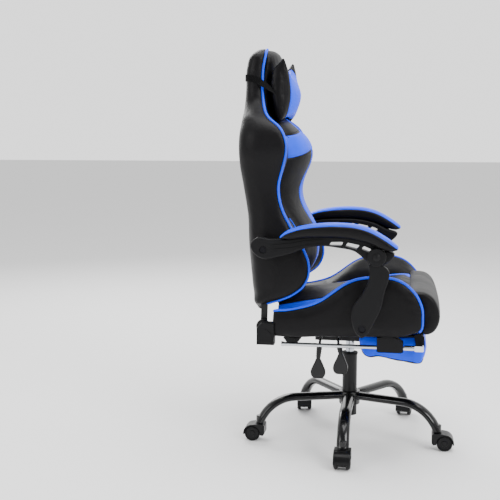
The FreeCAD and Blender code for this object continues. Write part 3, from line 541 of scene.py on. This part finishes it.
def make_finishes():
    """Every finish on the chair, by its short name."""
    tone = colours()
    FINISHES.update(
        black=leatherette("black leatherette", tone.black),
        panels=leatherette("two-tone leatherette", tone.black, tone.accent),
        accent=leatherette("accent leatherette", tone.accent, gloss=0.04),
        plastic=moulded("textured nylon", tone.plastic),
        hood=moulded("caster nylon", "#0B0B0D", roughness=0.36, coat=0.1),
        rubber=moulded("soft rubber grip", "#0C0C0E", roughness=0.34, texture=0.0011, coat=0.25),
        enamel=enamelled("baked gloss enamel", tone.enamel),
        powder=enamelled("black powder coat", "#0C0C0E", roughness=0.38, coat=0.05),
        chrome=metal("bright chrome plate", "#DADDE2", 0.08, (0.05, 1, 1)),
        piston=metal("ground chrome piston", "#B9BDC4", 0.14, (1, 1, 0.05)),
        steel=metal("zinc-plated steel", "#9EA1A6", 0.28),
        spring=metal("oiled spring steel", "#5E6166", 0.35),
        bolt=metal("black oxide steel", "#232326", 0.32),
        web=webbing("woven elastic", "#0A0A0B"),
        thread=webbing("bonded thread", "#26262A"))


# ---- hard parts ------------------------------------------------------------------------------------
# Finish of each material slot of the frame.
SLOT_FINISH = {"leg_enamel": "enamel", "column_paint": "powder", "bush_plastic": "plastic",
               "caster_nylon": "hood", "pin_steel": "steel", "lift_chrome": "piston",
               "mech_paint": "powder", "spring_steel": "spring", "knob_plastic": "plastic",
               "grip_rubber": "rubber", "frame_paint": "powder", "cover_plastic": "plastic",
               "slide_chrome": "chrome", "arm_plastic": "plastic", "board_plastic": "plastic"}
# These bolts are black, where the rest of their slot is bright.
NODE_FINISH = {"arm_rear_bolts": "bolt", "support_bolts": "bolt"}


def dress_hard_parts():
    """Better finishes on the parts of the frame that stay as they are."""
    slot_of = {part["node"]: part["material_slot"] for part in frame["record"]["subparts"]}
    for name, node in frame["nodes"].items():
        finish = NODE_FINISH.get(name, SLOT_FINISH.get(slot_of[name]))
        if finish is None:
            continue
        if not node.material_slots:
            node.data.materials.append(FINISHES[finish])
        for slot in node.material_slots:
            slot.material = FINISHES[finish]


# ---- back ------------------------------------------------------------------------------------------
def back_lines():
    """The back's shape functions by height."""
    names = ("rear", "wing", "crest", "half", "panel", "crown", "stripe")
    tables = (BACK_REAR, BACK_WING, BACK_CREST, BACK_HALF, PANEL_HALF, PANEL_CROWN, STRIPE_HALF)
    return {name: profile(table) for name, table in zip(names, tables)}


def valley(line, z):
    """Depth of the seam between a wing and the centre panel."""
    return min(line["crest"](z) - line["crown"](z) - 0.010, line["wing"](z) - 0.008)


def back_section(line, z):
    """Half of the back's cover at one height, as (across, forward), from rear centre to front centre."""
    rear, wing, half = line["rear"](z), line["wing"](z), line["half"](z)
    panel, low = min(line["panel"](z), half - 0.034), valley(line, z)
    deep, shallow = min(wing - rear, 0.12), min(wing - rear, 0.10)
    behind, ahead = rear + 0.5 * deep, wing - 0.28 * shallow
    return [(0, rear), (0.45 * half, rear + 0.06 * deep), (0.78 * half, rear + 0.11 * deep),
            (0.93 * half, rear + 0.22 * deep), (half - 0.001, behind), (half, 0.5 * (behind + ahead)),
            (half - 0.001, ahead), (half - 0.005, wing - 0.07 * shallow), (half - 0.015, wing),
            (half - 0.030, wing - 0.005), (0.5 * (half + panel), 0.6 * wing + 0.4 * low),
            (panel + 0.004, low + 0.002), (panel - 0.010, low - 0.006), (0.5 * panel, low - 0.010),
            (0, low - 0.010)]


def make_back():
    """Rear shell with its wings, and the crowned centre panel."""
    line = back_lines()
    heights = np.linspace(0.444, 1.260, 76)
    rings = []
    for z in heights:
        rings.append([(x, y, z) for y, x in ring_of(back_section(line, z), 96)])
    cover = loft("back_cover", rings)
    stuff(cover, swell=0.004, pressure=3.0, voxel=0.0065, relax=5)
    finish_piece(cover, FINISHES["black"], "back", ("back_pad", "back_shell"))

    rings = []
    for z in np.linspace(0.486, 1.252, 70):
        crest, crown, half = line["crest"](z), line["crown"](z), line["panel"](z)
        base = crest - crown
        section = [(0, crest), (0.35 * half, crest - 0.10 * crown), (0.68 * half, crest - 0.42 * crown),
                   (0.90 * half, crest - 0.80 * crown), (half, base - 0.006),
                   (0.97 * half, base - 0.024), (0.6 * half, base - 0.030), (0, base - 0.030)]
        rings.append([(x, y, z) for y, x in ring_of(section, 72)])
    panel = loft("back_centre_panel", rings)
    stuff(panel, swell=0.006, pressure=4.0, relax=4)

    def border(p):
        y, z = np.abs(p[:, 1]), p[:, 2]
        stripe = np.minimum(line["stripe"](z) - y, 1.045 - z)
        band = np.minimum(z - (0.950 - 0.21 * y), (1.004 - 0.12 * y) - z)
        return np.maximum(stripe, band)

    sew(panel, border)
    finish_piece(panel, FINISHES["panels"], "back", ())
    return cover, panel


# ---- head pillow and its strap -----------------------------------------------------------------------
def make_pillow():
    """Pillow with raised corner ears, an accent band in front and black ends."""
    rings = []
    for y in np.linspace(-PILLOW_HALF, PILLOW_HALF, 50):
        t = (abs(y) / PILLOW_HALF) ** 2.0
        section = [(a[0] * (1 - t) + b[0] * t, a[1] * (1 - t) + b[1] * t)
                   for a, b in zip(PILLOW_MIDDLE, PILLOW_END)]
        rings.append([(x, y, z) for x, z in smooth_ring([(x * MM, z * MM) for x, z in section], 72)])
    pillow = loft("head_pillow_cover", rings)
    stuff(pillow, swell=0.004, pressure=4.0, voxel=0.0036, relax=1)
    sew(pillow, lambda p: np.minimum(PILLOW_BAND - np.abs(p[:, 1]), p[:, 0] + PILLOW_BACK))
    finish_piece(pillow, FINISHES["panels"], "back", ("head_pillow",))
    return pillow


def make_strap(cover):
    """Flat elastic band from the pillow's ends round the back of the headrest."""
    half = [np.array(p) * MM for p in STRAP_ROUTE]
    whole = [p * (1, -1, 1) for p in half] + list(reversed(half[:-1]))
    route = smooth_route(whole, 0.006)
    tree = surface_of(cover)
    for k, place in enumerate(route):
        spot, normal, _, _ = tree.find_nearest(Vector(place))
        hold = min(1.0, max(0.0, (-0.262 - place[0]) / 0.014))
        route[k] = place * (1 - hold) + np.array(spot + normal * STRAP_LIFT) * hold
    rings = []
    for k, place in enumerate(route):
        normal = tree.find_nearest(Vector(place))[1]
        ahead = route[min(k + 1, len(route) - 1)] - route[max(k - 1, 0)]
        ahead /= np.linalg.norm(ahead)
        out = np.array(normal)
        out -= ahead * np.dot(out, ahead)
        out /= np.linalg.norm(out)
        up = np.cross(out, ahead)
        rings.append([place + a * up * STRAP_WIDTH / 2 + b * out * STRAP_THICKNESS / 2
                      for a, b in ((-1, -1), (1, -1), (1, 1), (-1, 1))])
    strap = loft("pillow_strap", rings)
    bevel = strap.modifiers.new("edge", "BEVEL")
    bevel.width = 0.0005
    bevel.segments = 2
    apply_modifiers(strap)
    return finish_piece(strap, FINISHES["web"], "back", ("head_strap",))


# ---- seat ------------------------------------------------------------------------------------------
def make_bolster(side, sign):
    """Side bolster of the seat, swept along its length."""
    top, bottom, cushion = profile(BOLSTER_TOP), profile(BOLSTER_BOTTOM), profile(CUSHION_TOP)
    rings = []
    for x in np.concatenate([np.linspace(-0.2215, 0.20, 56), np.linspace(0.204, 0.2285, 9)]):
        t, b = top(x), bottom(x)
        s = min(cushion(x), t) - 0.012
        section = [(0.244, b), (0.259, b + 0.007), (0.2625, 0.6 * b + 0.4 * t), (0.262, t - 0.028),
                   (0.260, t - 0.011), (0.256, t - 0.003), (0.249, t), (0.236, t - 0.004),
                   (0.215, t - 0.20 * (t - s) - 0.006), (0.196, 0.55 * t + 0.45 * s - 0.006), (0.185, s),
                   (0.180, s - 0.030), (0.179, b + 0.035), (0.190, b + 0.004), (0.215, b)]
        rings.append([(x, sign * y, z) for y, z in smooth_ring(section, 64)])
    piece = loft(f"seat_bolster_cover_{side}", rings)
    stuff(piece, swell=0.0035, pressure=3.5, voxel=0.005, relax=3)
    return finish_piece(piece, FINISHES["black"], "seat", (f"seat_bolster_{side}",))


def make_cushion():
    """Centre cushion with two accent stripes, and the thick roll along the front edge."""
    top = profile(CUSHION_TOP)
    rings = []
    for x in np.linspace(-0.220, 0.212, 50):
        t, half = top(x), CUSHION_HALF
        section = [(0, t), (0.3 * half, t - 0.001), (0.6 * half, t - 0.003), (0.86 * half, t - 0.007),
                   (0.98 * half, t - 0.020), (half, t - 0.045), (0.98 * half, 0.428),
                   (0.92 * half, 0.413), (0.5 * half, CUSHION_FLOOR), (0, CUSHION_FLOOR)]
        rings.append([(x, y, z) for y, z in ring_of(section, 80)])
    cushion = loft("seat_centre_cushion", rings)
    stuff(cushion, swell=0.006, pressure=4.0, relax=4)

    inner = profile(STRIPE_IN)

    def border(p):
        x, y = p[:, 0], np.abs(p[:, 1])
        return np.minimum(np.minimum(y - inner(x), 0.196 - 0.3 * (y - 0.12) - x), p[:, 2] - 0.44)

    sew(cushion, border)
    finish_piece(cushion, FINISHES["panels"], "seat", ("seat_cushion",))

    outline = [np.array(p) * MM for p in ROLL]
    middle = np.mean(outline, axis=0)
    rings = []
    for y in np.linspace(-ROLL_HALF, ROLL_HALF, 60):
        edge = max(0.0, (abs(y) - ROLL_FLAT) / ROLL_ROUNDING)
        scale = 1 - 0.09 * edge**2
        bow = ROLL_BOW * (1 - (y / ROLL_HALF) ** 2)
        ring = [middle + (p - middle) * scale for p in outline]
        rings.append([(x + bow - ROLL_BOW, y, z) for x, z in smooth_ring([tuple(p) for p in ring], 64)])
    roll = loft("seat_front_roll", rings)
    stuff(roll, swell=0.004, pressure=4.0, voxel=0.005, relax=2)
    finish_piece(roll, FINISHES["black"], "seat", ())
    return cushion, roll


# ---- arm pads --------------------------------------------------------------------------------------
def make_arm_pad(side, sign):
    """Padded armrest top: accent top face over a black border."""
    top, low = profile(ARM_PAD_TOP), profile(ARM_PAD_BOTTOM)
    rings = []
    for x in np.linspace(ARM_PAD_REAR, ARM_PAD_FRONT, 54):
        ends = min(x - ARM_PAD_REAR, ARM_PAD_FRONT - x)
        half = ARM_PAD_HALF * min(1.0, 0.62 + 0.38 * math.sin(math.pi / 2 * min(1.0, ends / 0.03)))
        t, b = top(x), low(x) + 0.001
        b = min(b, t - 0.008)
        tall = t - b
        section = [(0, t), (0.55 * half, t - 0.03 * tall), (0.86 * half, t - 0.14 * tall),
                   (half, t - 0.36 * tall), (half, b + 0.30 * tall), (0.92 * half, b + 0.06 * tall),
                   (0.6 * half, b), (0, b)]
        rings.append([(x, sign * (ARM_PAD_MIDDLE + y), z) for y, z in ring_of(section, 48)])
    pad = loft(f"arm_pad_cover_{side}", rings)
    stuff(pad, swell=0.0025, pressure=4.0, voxel=0.0035, relax=2)
    sew(pad, lambda p: p[:, 2] - (top(p[:, 0]) - 0.0055), depth=0.0012, width=0.0025)
    return finish_piece(pad, FINISHES["panels"], f"arm_{side}", (f"arm_pad_{side}",))


# ---- footrest --------------------------------------------------------------------------------------
def make_foot_pad():
    """Footrest cushion, stored with its black face down and its accent border round the sides."""
    low = profile(FOOT_BOTTOM)
    top = [(FOOT_REAR + 1, FOOT_TOP - 1), (140, FOOT_TOP), (FOOT_FRONT - 1, FOOT_TOP - 1)]
    underside = [(x, 1000 * low(x * MM)) for x in (FOOT_FRONT, 226, 200, 150, 100, 60, FOOT_REAR + 1)]
    outline = [np.array(p) * MM for p in top + underside]
    middle = np.mean(outline, axis=0)
    rings = []
    for y in np.linspace(-FOOT_HALF, FOOT_HALF, 50):
        edge = max(0.0, (abs(y) - FOOT_FLAT) / FOOT_ROUNDING)
        scale = 1 - 0.07 * edge**2
        ring = [tuple(middle + (p - middle) * scale) for p in outline]
        rings.append([(x, y, z) for x, z in smooth_ring(ring, 72)])
    pad = loft("footrest_cover", rings)
    stuff(pad, swell=0.003, pressure=3.5, voxel=0.0045, relax=2)
    sew(pad, lambda p: p[:, 2] - (low(p[:, 0]) + 0.0065), depth=0.001, width=0.0025)
    return finish_piece(pad, FINISHES["panels"], "footrest", ("footrest_pad",))


# ---- piping ----------------------------------------------------------------------------------------
def wing_route():
    """Edge of the wings from the lower right, over the headrest, to the lower left."""
    line = back_lines()
    right = [(line["wing"](z) + 0.001, -(line["half"](z) - 0.014), z)
             for z in list(np.linspace(0.474, 0.52, 5)) + list(np.linspace(0.545, 1.235, 40))]
    crown = [(-0.252, -0.118, 1.2545), (-0.249, -0.08, 1.262), (-0.248, 0, 1.2635)]
    return right + crown + [(x, -y, z) for x, y, z in reversed(right + crown[:-1])]


def bolster_route(sign):
    """Outer top edge of one seat bolster, down its front end."""
    line = [(x, z - 2) for x, z in BOLSTER_TOP] + BOLSTER_FRONT
    return [(x * MM, sign * 0.254, z * MM) for x, z in line]


def make_piping(covers):
    """Accent welts of the back and the seat, each laid on its cover."""
    radius = sizes().piping_radius
    back_tree = surface_of(covers["back"])
    wings = laid_on(smooth_route(wing_route(), ROUTE_STEP), back_tree, radius * 0.35)
    line = back_lines()
    cords = [tube("welt", wings, radius)]
    panel_tree = surface_of(covers["panel"])
    for sign in (-1, 1):
        edge = [(line["crest"](z) - line["crown"](z), sign * line["panel"](z), z)
                for z in np.linspace(0.505, 0.735, 16)]
        edge = laid_on(smooth_route(edge, ROUTE_STEP), panel_tree, 0.001)
        cords.append(tube("welt", edge, radius * 0.55))
    finish_piece(joined("back_piping", cords), FINISHES["accent"], "back")
    cords = []
    for side, sign in SIDES:
        tree = surface_of(covers[side])
        route = laid_on(smooth_route(bolster_route(sign), ROUTE_STEP), tree, radius * 0.35)
        cords.append(tube("welt", route, radius))
    finish_piece(joined("seat_piping", cords), FINISHES["accent"], "seat")


# ---- stitching -------------------------------------------------------------------------------------
def stitch_tree():
    """Geometry Nodes group that lays short thread stitches along curves drawn as edges."""
    tree = bpy.data.node_groups.new("stitch run", "GeometryNodeTree")
    tree.interface.new_socket("Geometry", in_out="INPUT", socket_type="NodeSocketGeometry")
    for name, value in (("Pitch", 0.0065), ("Stitch length", 0.0046), ("Thread radius", 0.0006)):
        socket = tree.interface.new_socket(name, in_out="INPUT", socket_type="NodeSocketFloat")
        socket.default_value = value
    tree.interface.new_socket("Thread", in_out="INPUT", socket_type="NodeSocketMaterial")
    tree.interface.new_socket("Geometry", in_out="OUTPUT", socket_type="NodeSocketGeometry")
    given = add(tree, "NodeGroupInput").outputs
    curve = add(tree, "GeometryNodeMeshToCurve", {"Mesh": given["Geometry"]})
    even = add(tree, "GeometryNodeResampleCurve", {"Curve": curve.outputs[0], "Length": given["Pitch"]},
               mode="LENGTH")
    thread = add(tree, "GeometryNodeMeshCylinder", {"Vertices": 6, "Radius": given["Thread radius"],
                                                     "Depth": given["Stitch length"]})
    spots = add(tree, "GeometryNodeCurveToPoints", {"Curve": even.outputs[0]}, mode="EVALUATED")
    placed = add(tree, "GeometryNodeInstanceOnPoints", {"Points": spots.outputs[0],
                                                         "Instance": thread.outputs[0],
                                                         "Rotation": spots.outputs["Rotation"]})
    real = add(tree, "GeometryNodeRealizeInstances", {0: placed.outputs[0]})
    coloured = add(tree, "GeometryNodeSetMaterial", {"Geometry": real.outputs[0],
                                                      "Material": given["Thread"]})
    add(tree, "NodeGroupOutput", {0: coloured.outputs[0]})
    return tree


def stitch(name, routes, body):
    """One mesh of stitches along several routes."""
    verts, edges = [], []
    for route in routes:
        start = len(verts)
        verts += [tuple(p) for p in route]
        edges += [(k, k + 1) for k in range(start, len(verts) - 1)]
    piece = make_object(name, verts, [], edges)
    group = bpy.data.node_groups.get("stitch run") or stitch_tree()
    run = piece.modifiers.new("stitches", "NODES")
    run.node_group = group
    inputs = {item.name: item.identifier for item in group.interface.items_tree if item.in_out == "INPUT"}
    run[inputs["Pitch"]] = sizes().stitch_pitch
    run[inputs["Thread"]] = FINISHES["thread"]
    apply_modifiers(piece)
    return finish_piece(piece, FINISHES["thread"], body)


def make_stitching(covers):
    """Top stitches beside the welts and the panel seams."""
    line = back_lines()
    tree = surface_of(covers["back"])
    wings = smooth_route(wing_route(), ROUTE_STEP)
    routes = [laid_on(wings, tree, THREAD_LIFT, sideways=STITCH_ASIDE * way) for way in (-1, 1)]
    panel = surface_of(covers["panel"])
    for sign in (-1, 1):
        stripe = [(line["crest"](z), sign * (line["stripe"](z) + STRIPE_ASIDE), z)
                  for z in np.linspace(0.52, 0.93, 60)]
        routes.append(laid_on(stripe, panel, THREAD_LIFT, aim=(-1, 0, 0)))
    for base, slope in ((0.945, -0.21), (1.009, -0.12)):
        across = [(line["crest"](base), y, base + slope * abs(y)) for y in np.linspace(-0.138, 0.138, 60)]
        routes.append(laid_on(across, panel, THREAD_LIFT, aim=(-1, 0, 0)))
    stitch("back_stitching", routes, "back")
    routes = []
    for side, sign in SIDES:
        route = smooth_route(bolster_route(sign), ROUTE_STEP)
        cover = surface_of(covers[side])
        routes += [laid_on(route, cover, THREAD_LIFT, sideways=STITCH_ASIDE * way) for way in (-1, 1)]
    seat = surface_of(covers["cushion"])
    top = profile(CUSHION_TOP)
    inner = profile(STRIPE_IN)
    for sign in (-1, 1):
        run = [(x, sign * (inner(x) - STRIPE_ASIDE), top(x)) for x in np.linspace(-0.19, 0.17, 60)]
        routes.append(laid_on(run, seat, THREAD_LIFT, aim=(0, 0, -1)))
    stitch("seat_stitching", routes, "seat")


# ---- stage -----------------------------------------------------------------------------------------
def make_stage():
    """Pale floor, soft studio light and the camera."""
    corners = ((-1, -1), (1, -1), (1, 1), (-1, 1))
    floor = make_object("floor", [(a * FLOOR_HALF, b * FLOOR_HALF, 0) for a, b in corners], [(0, 1, 2, 3)])
    pale, tree, bsdf, place = start_material("studio floor", Roughness=0.9)
    mottle = add(tree, "ShaderNodeTexNoise", {"Vector": place, "Scale": 2.0})
    vary(tree, bsdf, mottle.outputs["Fac"], colours().floor, (0.98, 1.0))
    floor.data.materials.append(pale)

    world = bpy.context.scene.world or bpy.data.worlds.new("studio")
    bpy.context.scene.world = world
    world.use_nodes = True
    tree = world.node_tree
    sky = tree.nodes["Background"]
    sky.inputs["Color"].default_value = (1.0, 1.0, 1.0, 1.0)
    ray = add(tree, "ShaderNodeSeparateXYZ", {0: add(tree, "ShaderNodeTexCoord").outputs["Generated"]})
    backdrop = add(tree, "ShaderNodeMapRange", {"Value": ray.outputs["Y"], "From Min": -0.5,
                                                "From Max": 0.6, "To Min": NEAR_LIGHT,
                                                "To Max": FAR_LIGHT})
    tree.links.new(backdrop.outputs[0], sky.inputs["Strength"])
    for name, place, size, power in LAMPS:
        data = bpy.data.lights.new(name, "AREA")
        data.size = size
        data.energy = power
        lamp = bpy.data.objects.new(name, data)
        lamp.location = place
        aim = Vector(LAMP_TARGET) - Vector(place)
        lamp.rotation_euler = aim.to_track_quat("-Z", "Y").to_euler()
        bpy.context.scene.collection.objects.link(lamp)

    eye = bpy.data.cameras.new("camera")
    eye.sensor_width = 36.0
    eye.lens = CAMERA_LENS
    camera = bpy.data.objects.new("camera", eye)
    camera.location = CAMERA_PLACE
    camera.rotation_euler = (math.radians(90 - CAMERA_DIP), 0, math.radians(CAMERA_TURN))
    bpy.context.scene.collection.objects.link(camera)
    bpy.context.scene.camera = camera


# ---- operators -------------------------------------------------------------------------------------
COVERS = {}


class CHAIR_OT_stage(bpy.types.Operator):
    """Add the floor, the lights and the camera"""
    bl_idname = "chair.stage"
    bl_label = "Stage"

    def execute(self, context):
        make_stage()
        return {"FINISHED"}


class CHAIR_OT_finishes(bpy.types.Operator):
    """Make every finish and put it on the hard parts"""
    bl_idname = "chair.finishes"
    bl_label = "Finishes"

    def execute(self, context):
        make_finishes()
        dress_hard_parts()
        return {"FINISHED"}


class CHAIR_OT_back(bpy.types.Operator):
    """Make the back's cover and centre panel"""
    bl_idname = "chair.back"
    bl_label = "Back"

    def execute(self, context):
        COVERS["back"], COVERS["panel"] = make_back()
        return {"FINISHED"}


class CHAIR_OT_pillow(bpy.types.Operator):
    """Make the head pillow and its strap"""
    bl_idname = "chair.pillow"
    bl_label = "Pillow"

    def execute(self, context):
        make_pillow()
        make_strap(COVERS["back"])
        return {"FINISHED"}


class CHAIR_OT_seat(bpy.types.Operator):
    """Make the seat's cushion, front roll and bolsters"""
    bl_idname = "chair.seat"
    bl_label = "Seat"

    def execute(self, context):
        COVERS["cushion"], COVERS["roll"] = make_cushion()
        for side, sign in SIDES:
            COVERS[side] = make_bolster(side, sign)
        return {"FINISHED"}


class CHAIR_OT_arm_pads(bpy.types.Operator):
    """Make both arm pads"""
    bl_idname = "chair.arm_pads"
    bl_label = "Arm pads"

    def execute(self, context):
        for side, sign in SIDES:
            make_arm_pad(side, sign)
        return {"FINISHED"}


class CHAIR_OT_footrest(bpy.types.Operator):
    """Make the footrest cushion"""
    bl_idname = "chair.footrest"
    bl_label = "Footrest"

    def execute(self, context):
        make_foot_pad()
        return {"FINISHED"}


class CHAIR_OT_piping(bpy.types.Operator):
    """Make the accent piping"""
    bl_idname = "chair.piping"
    bl_label = "Piping"

    def execute(self, context):
        make_piping(COVERS)
        return {"FINISHED"}


class CHAIR_OT_stitching(bpy.types.Operator):
    """Make the top stitching"""
    bl_idname = "chair.stitching"
    bl_label = "Stitching"

    def execute(self, context):
        make_stitching(COVERS)
        return {"FINISHED"}


MAKERS = (CHAIR_OT_stage, CHAIR_OT_finishes, CHAIR_OT_back, CHAIR_OT_pillow, CHAIR_OT_seat,
          CHAIR_OT_arm_pads, CHAIR_OT_footrest, CHAIR_OT_piping, CHAIR_OT_stitching)


class CHAIR_PT_panel(bpy.types.Panel):
    """Lists the chair's settings and makers"""
    bl_idname = "CHAIR_PT_panel"
    bl_label = "Reclining chair"
    bl_space_type = "VIEW_3D"
    bl_region_type = "UI"
    bl_category = "Chair"

    def draw(self, context):
        for group in (context.scene.chair_sizes, context.scene.chair_colours):
            for name in group.__annotations__:
                self.layout.prop(group, name)
        for maker in MAKERS:
            self.layout.operator(maker.bl_idname)


CLASSES = (ChairSizes, ChairColours) + MAKERS + (CHAIR_PT_panel,)


def register():
    """Register the classes and the scene's settings."""
    for item in CLASSES:
        bpy.utils.register_class(item)
    bpy.types.Scene.chair_sizes = bpy.props.PointerProperty(type=ChairSizes)
    bpy.types.Scene.chair_colours = bpy.props.PointerProperty(type=ChairColours)


def unregister():
    """Take the settings and the classes away again."""
    del bpy.types.Scene.chair_colours
    del bpy.types.Scene.chair_sizes
    for item in reversed(CLASSES):
        bpy.utils.unregister_class(item)


def main():
    """Build the whole chair."""
    register()
    for maker in MAKERS:
        group, name = maker.bl_idname.split(".")
        getattr(getattr(bpy.ops, group), name)()


if __name__ == "__main__":
    main()
